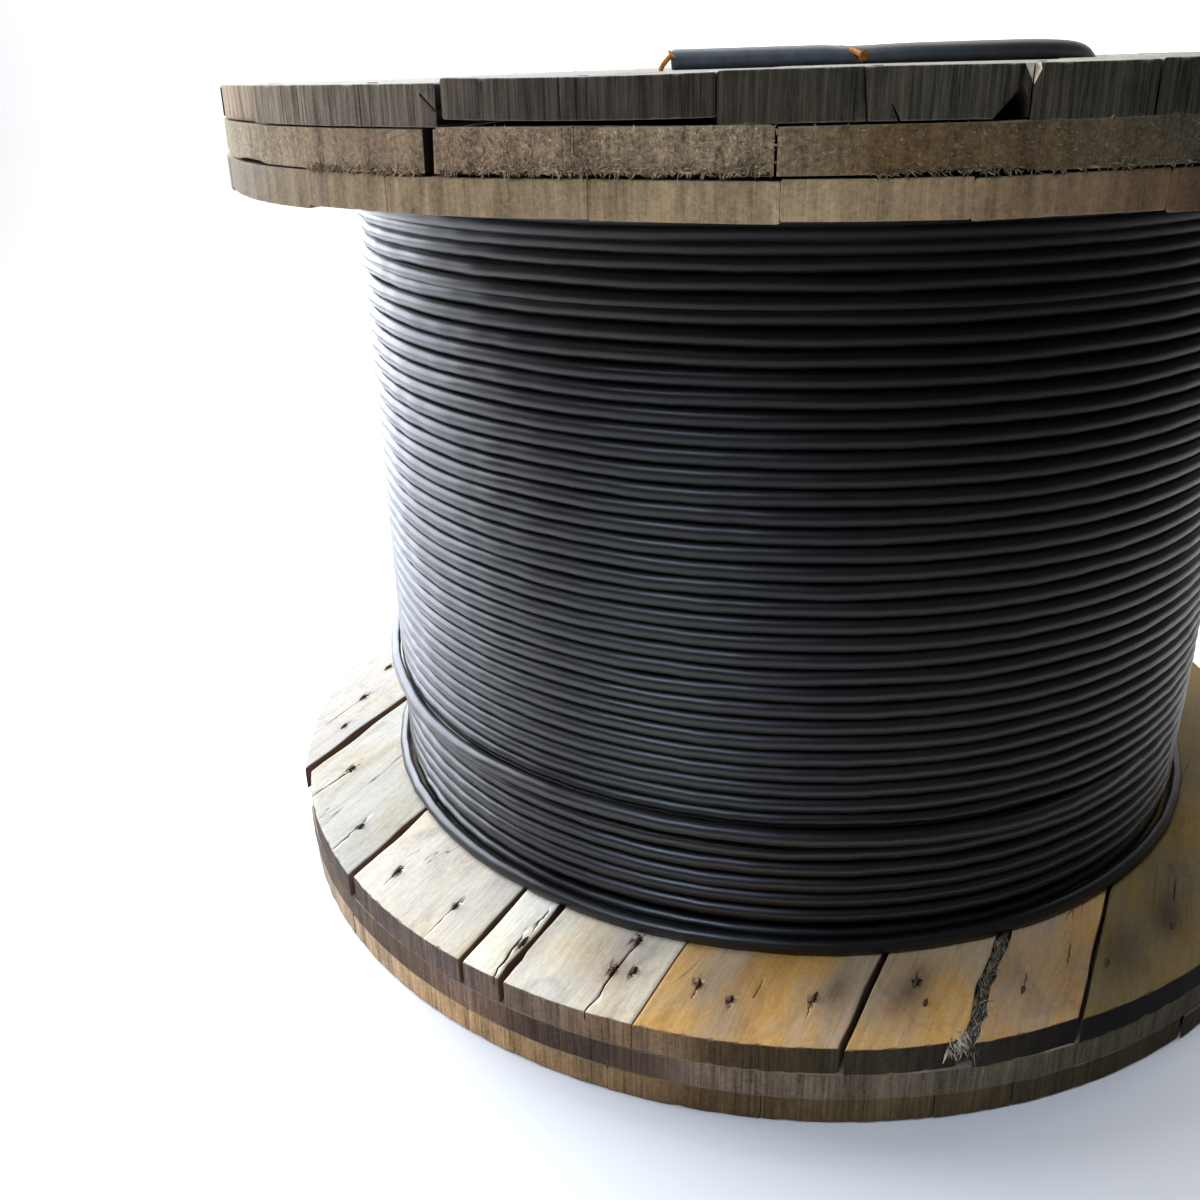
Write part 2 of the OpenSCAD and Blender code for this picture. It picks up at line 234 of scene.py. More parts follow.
def sawn_wood(name, fibre=0.2, band=0.2, blotch=0.3, grey="#b9b6ae", streak=0.3, fuzz=0.2, bump=0.4,
              smudge=0.25):
    """Rough-sawn softwood. Faces have their figure along the grain, and the sawn rim is streaked through
    the board's height. Each number is how far one pattern lightens and darkens the board's own tint."""
    material, tree, shader, place = new_material(name)
    grain = add(tree, "Attribute", {}, attribute_name="grain").outputs["Vector"]
    tint = add(tree, "Attribute", {}, attribute_name="tint").outputs["Color"]
    rim = add(tree, "Attribute", {}, attribute_name="rim").outputs["Fac"]
    # A slow swirl, 250 mm long and 60 mm wide, bends the figure sideways by up to 10 mm.
    swirl = add(tree, "Mapping", {"Vector": grain, "Scale": (16.0, 4.0, 16.0)}).outputs["Vector"]
    swirl = add(tree, "TexNoise", {"Vector": swirl, "Scale": 1.0, "Detail": 1.0, "Roughness": 0.55})
    shift = add(tree, "Math", {0: swirl.outputs["Fac"], 1: 0.03}, operation="MULTIPLY").outputs["Value"]
    shift = add(tree, "CombineXYZ", {"X": shift}).outputs["Vector"]
    bent = add(tree, "VectorMath", {0: grain, 1: shift}, operation="ADD").outputs["Vector"]
    # Patterns: coordinates, repeats a metre in x, y and z, detail, roughness, distortion. The grain's y
    # runs along the board, and the rim's z through its height. Real fibres are 0.04 mm across and are
    # drawn 2 mm apart, as coarse as shows.
    patterns = {
        "fibres": (bent, (500.0, 22.0, 500.0), 5.0, 0.7, 0.0),
        "bands": (bent, (70.0, 4.0, 70.0), 4.0, 0.6, 0.0),
        "grit": (grain, (260.0, 130.0, 260.0), 4.0, 0.7, 0.0),
        "patches": (grain, (13.0, 5.0, 13.0), 6.0, 0.66, 0.5),
        "smudges": (grain, (24.0, 15.0, 24.0), 5.0, 0.6, 0.8),
        "line": (bent, (38.0, 1.9, 38.0), 2.0, 0.55, 0.0),
        "where": (grain, (8.0, 4.0, 8.0), 1.0, 0.55, 0.0),
        "saw_wide": (place, (300.0, 300.0, 7.0), 4.0, 0.7, 0.0),
        "saw_fine": (place, (800.0, 800.0, 30.0), 3.0, 0.6, 0.0),
        "saw_broad": (place, (60.0, 60.0, 14.0), 4.0, 0.6, 0.0),
        "wool": (place, (230.0, 230.0, 300.0), 5.0, 0.75, 0.4),
    }
    found = {}
    for key, (vector, repeats, detail, rough, twist) in patterns.items():
        moved = add(tree, "Mapping", {"Vector": vector, "Scale": repeats}).outputs["Vector"]
        inputs = {"Vector": moved, "Scale": 1.0, "Detail": detail, "Roughness": rough, "Distortion": twist}
        found[key] = add(tree, "TexNoise", inputs).outputs["Fac"]
    # Hairline cracks follow the noise's middle value, in some places only and never on the rim.
    line = add(tree, "Math", {0: found["line"], 1: 0.5}, operation="SUBTRACT").outputs["Value"]
    found["line"] = add(tree, "Math", {0: line}, operation="ABSOLUTE").outputs["Value"]
    ranges = {
        "fibres": ("fibres", 0.3, 0.7, 1.0 - fibre, 1.0 + fibre),
        "bands": ("bands", 0.3, 0.7, -band, band),
        "grit": ("grit", 0.3, 0.7, -0.10, 0.10),
        "smudges": ("smudges", 0.55, 0.75, 1.0, 1.0 - smudge),
        "crack": ("line", 0.0, 0.006, 1.0, 0.0),
        "where": ("where", 0.53, 0.57, 0.0, 1.0),
        "saw_wide": ("saw_wide", 0.38, 0.62, 1.0 - streak, 1.0 + streak),
        "saw_fine": ("saw_fine", 0.38, 0.62, -streak * 0.6, streak * 0.6),
        "saw_broad": ("saw_broad", 0.35, 0.65, -0.25, 0.25),
        "wool": ("wool", 0.36, 0.64, -fuzz, fuzz),
        "worn": ("patches", 0.44, 0.64, 0.0, blotch),
        "warm": ("patches", 0.47, 0.33, 0.0, 0.4),
    }
    level = {}
    for key, (source, low, high, out_low, out_high) in ranges.items():
        level[key] = add(tree, "MapRange", {"Value": found[source], "From Min": low, "From Max": high,
                                            "To Min": out_low, "To Max": out_high}).outputs["Result"]
    off_rim = add(tree, "Math", {0: 1.0, 1: rim}, operation="SUBTRACT").outputs["Value"]
    less_rim = add(tree, "MapRange", {"Value": rim, "To Min": 1.0, "To Max": 0.3}).outputs["Result"]
    crack = add(tree, "Math", {0: level["crack"], 1: level["where"]}, operation="MULTIPLY").outputs["Value"]
    crack = add(tree, "Math", {0: crack, 1: off_rim}, operation="MULTIPLY").outputs["Value"]
    crack_shade = add(tree, "MapRange", {"Value": crack, "To Min": 1.0, "To Max": 0.25}).outputs["Result"]
    # The face's and the rim's patterns, added or multiplied one after another.
    face = level["fibres"]
    for operation, other in (("ADD", level["bands"]), ("ADD", level["grit"]), ("MULTIPLY", level["smudges"]),
                             ("MULTIPLY", crack_shade)):
        face = add(tree, "Math", {0: face, 1: other}, operation=operation).outputs["Value"]
    cut = level["saw_wide"]
    for key in ("saw_broad", "saw_fine", "wool"):
        cut = add(tree, "Math", {0: cut, 1: level[key]}, operation="ADD").outputs["Value"]
    value = add(tree, "Mix", {0: rim, 2: face, 3: cut}, data_type="FLOAT").outputs[0]
    # Weathered patches go towards the grey of old wood, and unweathered ones towards honey.
    worn = add(tree, "Math", {0: level["worn"], 1: less_rim}, operation="MULTIPLY").outputs["Value"]
    warm = add(tree, "Math", {0: level["warm"], 1: less_rim}, operation="MULTIPLY").outputs["Value"]
    plain = add(tree, "RGBToBW", {"Color": tint}).outputs["Val"]
    plain = add(tree, "Math", {0: plain, 1: 1.55}, operation="MULTIPLY").outputs["Value"]
    plain = add(tree, "VectorMath", {0: linear(grey), "Scale": plain}, operation="SCALE").outputs["Vector"]
    base = add(tree, "Mix", {0: worn, 6: tint, 7: plain}, data_type="RGBA").outputs[2]
    honey = add(tree, "Mix", {0: 1.0, 6: tint, 7: (*linear("#ecd2ad"), 1.0)}, data_type="RGBA",
                blend_type="MULTIPLY").outputs[2]
    base = add(tree, "Mix", {0: warm, 6: base, 7: honey}, data_type="RGBA").outputs[2]
    colour = add(tree, "VectorMath", {0: base, "Scale": value}, operation="SCALE").outputs["Vector"]
    tree.links.new(colour, shader.inputs["Base Color"])
    shader.inputs["Roughness"].default_value = 0.82
    shader.inputs["Specular IOR Level"].default_value = 0.18
    relief = add(tree, "Math", {0: value, 1: crack}, operation="SUBTRACT").outputs["Value"]
    lift = add(tree, "Bump", {"Strength": bump, "Distance": 0.001, "Height": relief}).outputs["Normal"]
    tree.links.new(lift, shader.inputs["Normal"])
    return material


# The default joint brown is lightened: it is painted light for the lower flange's gaps.
def layer(turn, joints, heights, faces, rim, seed, step=0.005, rows=56, out=None, stains=(),
          joint="#8a6c55", worn=0.0):
    """The boards of one layer side by side: joints are (s, gap in front, gap behind, roughness), heights
    are (underside, top), and these, outs and worn are in mm."""
    ends = [tuple(v / 1000.0 for v in place) for place in joints]
    ends = [(-RIM_R, 0.0, 0.0, 0.0)] + ends + [(RIM_R, 0.0, 0.0, 0.0)]
    outs = out or [0.0] * len(faces)
    return [
        board(turn, ends[i], ends[i + 1], heights[i][0] / 1000.0, heights[i][1] / 1000.0, faces[i], rim,
              seed + 20 * i, step, rows, outs[i] / 1000.0, stains, joint, worn / 1000.0)
        for i in range(len(faces))
    ]


def prism(base, move):
    """A closed prism: a flat outline of n points and the same outline moved."""
    base = np.asarray(base, dtype=float)
    n = len(base)
    points = np.concatenate((base, base + move))
    k = np.arange(n)
    walls = np.stack((k, (k + 1) % n, (k + 1) % n + n, k + n), -1).tolist()
    faces = [k[::-1].tolist(), (k + n).tolist()] + walls
    area = np.cross(base, np.roll(base, -1, 0)).sum(0)
    if np.dot(area, move) < 0.0:
        faces = [face[::-1] for face in faces]
    return points, faces


def disc(x, y, z0, z1, radius, sides=40):
    """A round cutter from z0 to z1."""
    a = np.linspace(0.0, 2.0 * np.pi, sides, endpoint=False)
    outline = np.stack((x + radius * np.cos(a), y + radius * np.sin(a), np.full(sides, z0)), -1)
    return prism(outline, (0, 0, z1 - z0))


def drying_crack(x0, y0, x1, y1, width, top, depth, seed):
    """A drying crack in a board's face: a thin outline from one end to the other, widest in the middle,
    its middle line wandering by a width or two, cut straight down."""
    u = np.linspace(0.0, 1.0, 9)
    ahead = np.array([x1 - x0, y1 - y0])
    side = np.array([-ahead[1], ahead[0]]) / np.linalg.norm(ahead)
    middle = np.array([x0, y0]) + u[:, None] * ahead + (wander(u, 0.5, seed) * width * 0.8)[:, None] * side
    half = width / 2.0 * np.sqrt(np.sin(np.pi * u).clip(0.02, 1.0)) * (1.0 + 0.3 * wander(u, 0.3, seed + 1))
    outline = np.concatenate((middle + half[:, None] * side, (middle - half[:, None] * side)[::-1]))
    return prism(np.column_stack((outline, np.full(len(outline), top + 0.001))), (0, 0, -depth - 0.001))


def rim_cut(outline, depth, out=0.004):
    """A cutter that enters the rim: outline points are (degrees from the front, height in m)."""
    a, z = np.radians([p[0] for p in outline]), np.array([p[1] for p in outline])
    base = np.stack(((RIM_R + out) * np.sin(a), -(RIM_R + out) * np.cos(a), z), -1)
    middle = a.mean()
    return prism(base, np.array([-np.sin(middle), np.cos(middle), 0.0]) * (depth + out))


def carve(obj, cutters, code="#3b2a1c"):
    """Cuts closed prisms out of a piece, and gives the cut walls one colour, by default a painted dark shade.
    """
    start = np.cumsum([0] + [len(cutter[0]) for cutter in cutters])
    points = np.concatenate([cutter[0] for cutter in cutters])
    faces = [[i + start[j] for i in face] for j, cutter in enumerate(cutters) for face in cutter[1]]
    mesh = bpy.data.meshes.new("cutter")
    mesh.from_pydata(points, [], faces)
    corners = points[np.array([i for face in faces for i in face])].astype(np.float32)
    mesh.attributes.new("grain", "FLOAT_VECTOR", "CORNER").data.foreach_set("vector", corners.ravel())
    mesh.attributes.new("rim", "FLOAT", "CORNER")
    shade = np.tile(np.append(linear(code), 1.0), len(corners)).astype(np.float32)
    mesh.attributes.new("tint", "FLOAT_COLOR", "CORNER").data.foreach_set("color", shade)
    mesh.materials.append(obj.data.materials[0])
    tool = bpy.data.objects.new("cutter", mesh)
    bpy.context.scene.collection.objects.link(tool)
    cut = obj.modifiers.new("cut", "BOOLEAN")
    cut.object = tool
    cut.solver = "MANIFOLD"
    bpy.context.view_layer.update()
    done = bpy.data.meshes.new_from_object(obj.evaluated_get(bpy.context.evaluated_depsgraph_get()))
    obj.modifiers.clear()
    old = obj.data
    obj.data = done
    bpy.data.meshes.remove(old)
    bpy.data.objects.remove(tool)
    bpy.data.meshes.remove(mesh)


def slivers(base, ahead, length, width, tint, rim=0.0, seed=0):
    """Torn wood fibres: four-sided spikes from `base` along `ahead`, thinner and bent at the tip."""
    rng = np.random.default_rng(seed)
    n = len(base)
    ahead = ahead / np.linalg.norm(ahead, axis=1)[:, None]
    side = np.cross(ahead, rng.normal(size=(n, 3)))
    side /= np.linalg.norm(side, axis=1)[:, None]
    other = np.cross(ahead, side)
    bend = other * rng.uniform(-0.35, 0.35, n)[:, None]
    ring = np.stack([side, other, -side, -other], 1)
    steps = []
    for reach, thick in ((0.0, 1.0), (0.55, 0.75), (1.0, 0.12)):
        centre = base + (ahead + bend * reach ** 2) * (length * reach)[:, None]
        steps.append(centre[:, None] + ring * (width * thick / 2.0)[:, None, None])
    points = np.concatenate(steps, 1)
    k = np.arange(4)
    quad = [[0, 3, 2, 1], [8, 9, 10, 11]]
    quad += [[a + r, (a + 1) % 4 + r, (a + 1) % 4 + r + 4, a + r + 4] for r in (0, 4) for a in k]
    faces = (np.array(quad)[None] + 12 * np.arange(n)[:, None, None]).reshape(-1, 4)
    points = points.reshape(-1, 3)
    return {"points": points, "faces": faces, "tint": np.repeat(tint, 12, 0),
            "rim": np.full(len(points), rim), "grain": points + 3.0}


lower_turn = -19.0
# Spruce or pine, rough-sawn: the inner layer's faces are bleached by the weather, the rest is brown.
pale_boards = sawn_wood("Softwood, rough-sawn, bleached pale", fibre=0.15, band=0.10, blotch=0.45,
                        grey="#cfceca", bump=0.25, smudge=0.3)
aged_boards = sawn_wood("Softwood, rough-sawn, aged brown", fibre=0.16, band=0.16, blotch=0.25,
                        grey="#8f877b")
# The rims' colours round the drum, by degrees from the front, the left side negative. Besides the wood's own
# streaks they hold painted shade: darker where less light falls on the rim, nearly black at the inner layer's
# right.
inner_rim_with_shade = [(-180, "#2f241b"), (-90, "#53483c"), (-60, "#3d3125"), (-30, "#67574d"), (-8, "#86694b"),
             (-4, "#524029"), (12, "#372f21"), (30, "#040201"), (60, "#120d07"), (180, "#645445")]
cross_rim_with_shade = [(-180, "#403429"), (-90, "#615649"), (-60, "#5e4e3e"), (-35, "#5f4b3b"), (-29, "#896a56"),
             (-21, "#4e3d2f"), (-9, "#544235"), (-5, "#806c58"), (15, "#695e4c"), (60, "#2d251a"),
             (180, "#685849")]
outer_rim_with_shade = [(-180, "#4a3e32"), (-90, "#887d6e"), (-60, "#8f826f"), (-30, "#c19a6d"), (-5, "#624a2f"),
             (10, "#605034"), (30, "#41351f"), (60, "#231e10"), (180, "#6e5e4f")]
# Where nail points come through the inner face, in mm, with the rust stain round each and other stains.
nail_places = [(-566, 60), (-573, -33), (-572, -115), (-527, -221), (-474, -342), (-403, -414), (-324, -466),
               (-243, -520), (-126, -496), (-145, -543), (-126, -545), (-61, -552), (-31, -573), (46, -563),
               (145, -523)]
nail_stains = [(x / 1000.0, y / 1000.0, 0.007, "#7a6a58", 0.42) for x, y in nail_places]
nail_stains += [(-0.14, -0.52, 0.030, "#9c7f70", 0.55), (-0.24, -0.52, 0.020, "#8a6f5c", 0.35),
                (0.02, -0.50, 0.030, "#c08a45", 0.6), (0.09, -0.53, 0.035, "#8d8579", 0.5),
                (-0.05, -0.56, 0.020, "#857a68", 0.45), (0.14, -0.55, 0.020, "#6b5540", 0.4),
                (0.406, -0.394, 0.018, "#30281f", 0.8), (0.347, -0.455, 0.022, "#3a3127", 0.6),
                (-0.03, -0.60, 0.018, "#8f8a80", 0.5),
                (0.068, -0.545, 0.008, "#5d4a38", 0.75), (0.068, -0.545, 0.019, "#86694a", 0.45),
                (0.122, -0.560, 0.010, "#8a5a2c", 0.6), (0.145, -0.523, 0.012, "#5f4128", 0.6),
                (0.235, -0.50, 0.016, "#7a5a3c", 0.35), (0.30, -0.48, 0.02, "#7d6850", 0.3),
                (0.43, -0.33, 0.03, "#4d4433", 0.5), (0.50, -0.30, 0.03, "#6b5f49", 0.4),
                (0.05, -0.485, 0.025, "#cf9650", 0.5), (-0.02, -0.53, 0.016, "#a3876a", 0.35)]
# Torn fibres bridge one wide joint, and a paler tuft of them hangs over the rim in front of it.
rng = np.random.default_rng(11)
torn_count = 900
torn_t = rng.uniform(-0.505, -0.335, torn_count)
torn_s = rng.uniform(-1.0, 1.0, torn_count) * (0.45 + 0.55 * smooth(-torn_t, 0.34, 0.48))
torn_s = 0.3680 + 0.0075 * torn_s
turn_c, turn_d = np.cos(np.radians(lower_turn)), np.sin(np.radians(lower_turn))
torn_base = np.stack((torn_s * turn_c - torn_t * turn_d, torn_s * turn_d + torn_t * turn_c,
                      rng.uniform(0.0800, 0.0890, torn_count)), -1)
torn_way = np.stack((rng.normal(0, 0.16, torn_count), rng.normal(-0.2, 1.0, torn_count),
                     rng.uniform(-0.06, 0.05, torn_count)), -1)
torn_way = np.stack((torn_way[:, 0] * turn_c - torn_way[:, 1] * turn_d,
                     torn_way[:, 0] * turn_d + torn_way[:, 1] * turn_c, torn_way[:, 2]), -1)
torn_shade = along(rng.uniform(0, 1, torn_count), [(0, "#5e5340"), (0.5, "#8b7e64"), (1, "#aba083")])
torn = slivers(torn_base, torn_way, rng.uniform(0.006, 0.018, torn_count),
               rng.uniform(0.0008, 0.0018, torn_count), torn_shade, seed=12)
tuft_count = 110
tuft_side = rng.uniform(-1.0, 1.0, tuft_count)
tuft_base = np.stack((0.1745 + 0.0085 * tuft_side,
                      -0.5985 + 0.003 * tuft_side + rng.uniform(0, 0.014, tuft_count),
                      rng.uniform(0.0800, 0.0905, tuft_count)), -1)
tuft_way = np.stack((rng.normal(0, 0.5, tuft_count), rng.normal(-0.9, 0.3, tuft_count),
                     rng.uniform(-0.9, 0.4, tuft_count)), -1)
tuft_shade = along(rng.uniform(0, 1, tuft_count), [(0, "#a3946f"), (1, "#d6c9a0")])
tuft = slivers(tuft_base, tuft_way, rng.uniform(0.006, 0.014, tuft_count),
               rng.uniform(0.0014, 0.0030, tuft_count), tuft_shade, seed=13)
lower_inner = mesh_piece("lower_inner_board_faces", layer(
    lower_turn,
    [(-476, 9, 5, .4), (-289, 7, 5, .4), (-103, 5, 4, .4), (-53, 6, 2, 2.0), (87.5, 1.0, 2, 0),
     (269.5, 6, 4, .8), (368, 11, 4, 4.0), (453, 4, 3, .4)],
    [(60, 90)] * 9,
    ["#b4ac9e", "#b7b1a1", "#d5c8b0", "#f9efd5", "#ebdbba", "#e1ae66", "#d7a660", "#c89858", "#806a3c"],
    inner_rim_with_shade, 100, stains=nail_stains), pale_boards)
lower_torn = mesh_piece("lower_inner_torn_fibres", [torn, tuft], pale_boards)
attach(lower_torn, "root")
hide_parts("lower_inner_boards")
# Drying cracks along the grain, from end to end in mm with the width in mm, and a dent at each nail.
grain_way = np.array([turn_d, -turn_c])
cracks = [(-520, -208, -554, -286, 2.0), (-471, -321, -490, -387, 1.8), (-324, -466, -345, -522, 1.2),
          (-121, -488, -168, -612, 2.6), (-574, -40, -600, -118, 1.6), (-243, -500, -262, -575, 3.0),
          (-236, -496, -225, -463, 2.4), (46, -563, 40, -585, 0.9), (-403, -414, -412, -442, 1.0),
          (-61, -552, -66, -574, 0.8), (430, -330, 418, -368, 1.2), (250, -500, 244, -520, 1.2),
          (0.0, -540, -8, -566, 0.9), (300, -450, 291, -480, 1.4)]
carve(lower_inner, [drying_crack(*(v / 1000.0 for v in crack[:4]), crack[4] * 0.00065, 0.090, 0.009, 40 + i)
                    for i, crack in enumerate(cracks)])
cuts = []
for i, nail_place in enumerate(nail_places):
    dent = rng.uniform(0.5, 0.9)
    middle, ahead = np.array(nail_place) / 1000.0, grain_way * 0.009 * dent
    cuts.append(drying_crack(*(middle - ahead), *(middle + ahead), 0.0055 * dent, 0.090, 0.0035, 80 + i))
bore = disc(0.0, 0.0, -0.01, 0.10, 0.0451)
carve(lower_inner, cuts + [bore])
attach(lower_inner, "root")
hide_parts("lower_inner_boards")

lower_cross = mesh_piece("lower_cross_board_edges", layer(
    lower_turn + 90.0,
    [(-613, -0.4, 0.6, 0), (-430, 3, 3, .3), (-246, 3, 3, .3), (-90, 3, 3, .3), (95, 3, 3, .3),
     (270, 3, 3, .3), (450, 3, 3, .3)],
    [(31, 59.6)] + [(30.4, 59.8)] * 7,
    ["#9c8d7c"] * 8, cross_rim_with_shade, 400, rows=30), aged_boards)
carve(lower_cross, [bore])
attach(lower_cross, "root")
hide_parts("lower_cross_boards")

lower_outer = mesh_piece("lower_outer_board_faces", layer(
    lower_turn,
    [(-476, 4, 4, .3), (-298, 1, 3, .2), (-100, 0.6, 4, 0), (62, 0.6, 3, 0), (205, 0.8, 3, 0),
     (347, 0.8, 3, 0), (408, 0.8, 3, 0), (540, 2, 3, .3)],
    [(1.6, 30)] * 9,
    ["#a89a87", "#9f9280", "#b0a290", "#a09382", "#988a78", "#a5967f", "#8f826f", "#9b8c77", "#8b7d6a"],
    outer_rim_with_shade, 700, step=0.007, rows=44), aged_boards)
bolt_places = [(0.250 * np.cos(a), 0.250 * np.sin(a)) for a in np.radians(41.0 + 60.0 * np.arange(6))]
carve(lower_outer, [bore, disc(0.0, 0.0, -0.01, 0.0052, 0.0753)]
      + [disc(x, y, -0.01, 0.0200, 0.0290, 28) for x, y in bolt_places])
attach(lower_outer, "root")
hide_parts("lower_outer_boards")


# Upper flange: the same three layers. The outer one has weathered to dark grey, its boards stand at
# uneven heights and gaps show between the layers; the two beneath keep their sawn tan colour.
upper_turn = -12.6
# The same softwood, weathered grey, torn woolly across the grain by a blunt saw, and tan where sheltered.
grey_boards = sawn_wood("Softwood, rough-sawn, weathered grey", fibre=0.18, band=0.2, blotch=0.4,
                        grey="#97948c", streak=0.5, fuzz=0.12, bump=0.5)
fuzzy_boards = sawn_wood("Softwood, torn by a blunt saw", fibre=0.16, band=0.16, blotch=0.2, grey="#8f877b",
                         streak=0.10, fuzz=0.42, bump=1.0)
tan_boards = sawn_wood("Softwood, rough-sawn, tan", fibre=0.14, band=0.14, blotch=0.2, grey="#a49a8a",
                       streak=0.12, fuzz=0.22, bump=0.6)
# The rims' colours round the drum, by degrees from the front: the wood's own streaks with painted shade,
# darker towards the right, where less light falls on the rim.
top_rim_with_shade = [(-180, "#54493b"), (-90, "#977f62"), (-46.1, "#856e54"), (-45.9, "#70614c"), (-24, "#5f5244"),
           (-22, "#4a4034"), (-5, "#393228"), (10, "#3f3a2e"), (30, "#2b271d"), (90, "#2e2720"),
           (180, "#4c4233")]
middle_rim_with_shade = [(-180, "#7a6d4d"), (-60, "#918363"), (-30, "#8d7458"), (-20, "#9e8366"), (-5, "#a79172"),
              (5, "#6f5738"), (30, "#4f4a3b"), (90, "#554c3f"), (180, "#817059")]
under_rim_with_shade = [(-180, "#564d39"), (-60, "#69614e"), (-30, "#8b7455"), (0, "#a38b69"), (25, "#614934"),
             (90, "#6c553e"), (180, "#947c62")]
upper_inner = mesh_piece("upper_inner_board_faces", layer(
    upper_turn,
    [(place, 0.15, 2, 0) for place in (-455, -267, -175, -3, 127, 245, 363, 520)],
    [(795, 826), (797.5, 827), (800, 827), (800, 826.4), (799.5, 826.4), (800, 826.6), (800, 826.6),
     (799, 827), (800, 827.5)],
    ["#a39888", "#9c8d78", "#a39580", "#94856f", "#998a74", "#8f806b", "#8a7b66", "#80715c", "#776853"],
    under_rim_with_shade, 1000, step=0.007, rows=44, joint="#2e241b", worn=10), tan_boards)
bore = disc(0.0, 0.0, 0.79, 0.91, 0.0451)
carve(upper_inner, [bore, disc(0.3025, -0.119, 0.79, 0.91, 0.016)])
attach(upper_inner, "root")
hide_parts("upper_inner_boards")

# Torn fibres on the middle layer's rim: (from, to) in degrees from the front and the share of them.
# The first three lots hang from the lower edge, and the rest stand on the rim. They all have the same
# four-sided form, with ten faces each.
rng = np.random.default_rng(21)
count = 5200
lots = [(-23.4, -1.5, 24), (4.0, 60.0, 14), (-38.0, -25.6, 6), (-23.4, -1.5, 36), (-23.4, 30.0, 20)]
where = np.concatenate([rng.uniform(start, end, count * percent // 100) for start, end, percent in lots])
count = len(where)
hang = np.arange(count) < count * 44 // 100
turned = np.radians(where)
outward = np.stack((np.sin(turned), -np.cos(turned), np.zeros(count)), -1)
tangent = np.stack((np.cos(turned), np.sin(turned), np.zeros(count)), -1)
low_edge = np.where((where > -24.0) & (where < -1.2), 0.8322, 0.8294) + 0.0006 * wander(turned, 0.05, 5)
fibre_z = np.where(hang, low_edge + 0.0016 * rng.exponential(1.0, count), rng.uniform(0.8335, 0.8585, count))
fibre_base = outward * (RIM_R - 0.0006) + [0.0, 0.0, 1.0] * fibre_z[:, None]
fibre_way = tangent * rng.normal(0.0, 1.0, count)[:, None] + outward * rng.uniform(0.05, 0.6, count)[:, None]
drop = np.where(hang, rng.uniform(-0.1, 0.9, count), rng.normal(0, 0.6, count))
fibre_way = fibre_way - [0.0, 0.0, 1.0] * drop[:, None]
# The fibres take the rim's colour where they stand, painted shade included, lightened at random.
fibre_tint = 0.55 * along(where, middle_rim_with_shade) + 0.07 * linear("#c4b8a4")
fibre_tint = fibre_tint * rng.uniform(1.1, 3.0, count)[:, None]
fibre_length = np.where(hang, rng.uniform(0.0020, 0.0075, count), rng.uniform(0.0016, 0.0042, count))
fibre_width = rng.uniform(0.0006, 0.0016, count)
fuzz = slivers(fibre_base, fibre_way, fibre_length, fibre_width, fibre_tint, rim=1.0, seed=22)
upper_torn = mesh_piece("upper_cross_torn_fibres", [fuzz], fuzzy_boards)
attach(upper_torn, "root")
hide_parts("upper_cross_boards")
upper_cross = mesh_piece("upper_cross_board_edges", layer(
    upper_turn + 90.0,
    [(-613, -0.6, 1.6, 0), (-440, 3, 3, .3), (-262, 3, 3, .3), (-75, 3, 3, .3), (112, 3, 3, .3),
     (300, 3, 3, .3), (470, 3, 3, .3)],
    [(832.4, 860.5), (829, 859), (830.4, 858), (829.5, 858), (829, 858), (829, 858), (829, 858), (829, 858)],
    ["#8c7c68"] * 8, middle_rim_with_shade, 1300, rows=30, joint="#2e241b", worn=12), fuzzy_boards)
# A gap and a split across the rim, and two places where its lower edge is broken away. Their walls are
# painted near black as shade.
carve(upper_cross, [
    bore, rim_cut([(-25.0, 0.865), (-24.1, 0.865), (-24.3, 0.825), (-25.1, 0.825)], 0.014),
    rim_cut([(-1.30, 0.865), (-1.12, 0.865), (-1.12, 0.825), (-1.30, 0.825)], 0.012),
    rim_cut([(3.0, 0.826), (6.0, 0.8308), (13.0, 0.8306), (16.0, 0.826)], 0.030),
    rim_cut([(-56.0, 0.826), (-50.0, 0.8312), (-46.0, 0.8308), (-42.0, 0.826)], 0.030)], "#2a2018")
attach(upper_cross, "root")
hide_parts("upper_cross_boards")

upper_outer = mesh_piece("upper_outer_board_faces", layer(
    upper_turn,
    [(-500, 3, 3, .3), (-341, 1.4, 2, 0), (-118, 5, 4, .4), (85, 1.2, 3, 0), (273, 0.8, 3, .2),
     (347, 1.2, 2, .2), (505, 3, 3, .3)],
    [(860.1, 887.5), (860.1, 889), (860.3, 889), (864, 890.8), (860.5, 892.5), (858.5, 892.3), (858.5, 892.8),
     (858.5, 892.3)],
    ["#b1a694", "#a5a097", "#9b978f", "#949089", "#8a8780", "#908c84", "#88857e", "#8b877f"],
    top_rim_with_shade, 1600, step=0.005, rows=56, out=[-13, -13] + [0] * 6, joint="#2b241e"), grey_boards)
